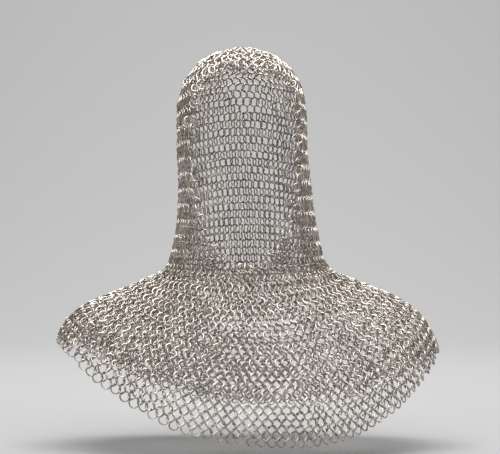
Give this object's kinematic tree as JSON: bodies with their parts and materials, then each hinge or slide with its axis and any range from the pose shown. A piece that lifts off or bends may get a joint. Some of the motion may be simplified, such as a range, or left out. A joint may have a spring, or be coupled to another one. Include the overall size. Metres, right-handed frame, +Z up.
{
  "type": "chainmail coif",
  "caption": "Chainmail coif of butted steel rings: a close hood with an open face, running into a wide shoulder mantle with a scalloped hem.",
  "frame": {"origin": "the inside of the crown, where the top of the head holds the hood", "axes": "+Z up, the face looks along -Y, +X is the wearer's left"},
  "size_m": [0.4583, 0.2796, 0.4656],
  "materials": {
    "ring_steel": "satin, bright wire with a thin oxide film"
  },
  "bodies": {
    "root": {"crown": "ring_steel", "hood_left": "ring_steel", "hood_right": "ring_steel", "hood_back": "ring_steel", "face_edge": "ring_steel", "throat": "ring_steel", "neck_left": "ring_steel", "neck_right": "ring_steel", "nape": "ring_steel", "mantle_front": "ring_steel", "mantle_left": "ring_steel", "mantle_right": "ring_steel", "mantle_back": "ring_steel", "hem_front": "ring_steel", "hem_left": "ring_steel", "hem_right": "ring_steel", "hem_back": "ring_steel"}
  },
  "joints": []
}
